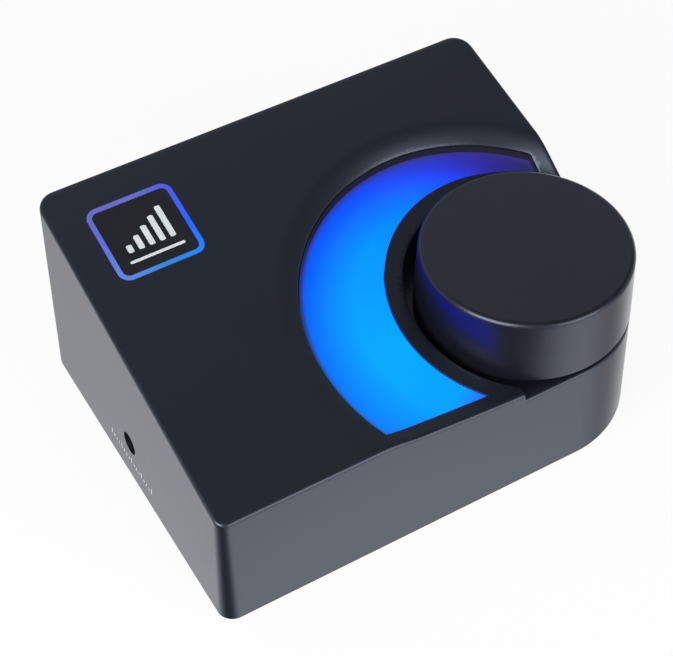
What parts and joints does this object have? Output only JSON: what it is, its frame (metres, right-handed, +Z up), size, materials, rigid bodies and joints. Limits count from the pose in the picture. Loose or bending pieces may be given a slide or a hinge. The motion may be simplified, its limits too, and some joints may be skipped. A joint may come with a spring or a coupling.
{
  "type": "studio monitor controller",
  "caption": "Desktop controller for studio monitors: wedge-shaped case, large push-and-turn knob in a lit crescent, small lit badge, sockets at the side and rear.",
  "frame": {"origin": "middle of the whole part's footprint, on the surface it stands on", "axes": "+X to the right along the front wall, +Y from the front wall to the rear sockets, +Z up, along the axis of the knob"},
  "size_m": [0.11, 0.087, 0.0496],
  "materials": {
    "housing_abs": "black moulded ABS with a fine satin texture",
    "base_abs": "black moulded ABS, matt",
    "knob_abs": "black moulded ABS, smooth satin",
    "lens_polycarbonate": "opal polycarbonate diffuser, lit blue and violet from below",
    "reflector_white": "white reflector plastic",
    "badge_acrylic": "opal acrylic light guide, lit violet and blue",
    "badge_gloss": "dark tinted acrylic with level bars that light through",
    "led_silicone": "white package with a pale silicone lens",
    "solder_mask": "glass-fibre board under dark green solder mask",
    "chip_epoxy": "moulded black epoxy",
    "capacitor_sleeve": "dark sleeve over an aluminium can",
    "connector_nylon": "off-white nylon",
    "ribbon_pvc": "grey flat cable",
    "jack_nylon": "black nylon socket body",
    "nickel_plate": "bright nickel plate",
    "inlet_steel": "folded stainless steel",
    "encoder_zinc": "die-cast zinc",
    "hub_brass": "turned brass",
    "zinc_screw": "steel screw, black oxide",
    "foot_rubber": "black silicone rubber"
  },
  "bodies": {
    "case": {"housing": "housing_abs", "base_plate": "base_abs", "base_screws": "zinc_screw", "board_screws": "zinc_screw", "main_board": "solder_mask", "board_chips": "chip_epoxy", "board_capacitors": "capacitor_sleeve", "board_connectors": "connector_nylon", "output_jack_left": "jack_nylon", "output_jack_right": "jack_nylon", "output_jack_washers": "nickel_plate", "output_jack_nuts": "nickel_plate", "aux_jack": "jack_nylon", "usb_socket": "inlet_steel", "ring_lens": "lens_polycarbonate", "ring_reflector": "reflector_white", "ring_light_board": "solder_mask", "ring_leds": "led_silicone", "ring_ribbon": "ribbon_pvc", "badge_light_guide": "badge_acrylic", "badge_plate": "badge_gloss", "badge_light_board": "solder_mask", "badge_leds": "led_silicone", "badge_ribbon": "ribbon_pvc", "encoder_body": "encoder_zinc", "encoder_board": "solder_mask", "encoder_washer": "nickel_plate", "encoder_nut": "nickel_plate", "encoder_ribbon": "ribbon_pvc", "switch_dome": "inlet_steel", "foot_front_left": "foot_rubber", "foot_front_right": "foot_rubber", "foot_back_left": "foot_rubber", "foot_back_right": "foot_rubber"},
    "push": {"press_plate": "connector_nylon"},
    "knob": {"encoder_shaft": "nickel_plate", "encoder_rotor": "connector_nylon", "knob_shell": "knob_abs", "knob_hub": "hub_brass"}
  },
  "joints": [
    {"name": "knob_press", "type": "slide", "parent": "case", "child": "push", "axis": [0, 0, -1], "range_m": [0, 0.0004], "stiffness_N_per_m": 5000, "springref_m": -0.0002, "deforming": ["switch_dome"]},
    {"name": "knob_turn", "type": "hinge", "parent": "push", "child": "knob", "pos_m": [0.031, -0.01922, 0.0284], "axis": [0, 0, 1], "continuous": true}
  ]
}
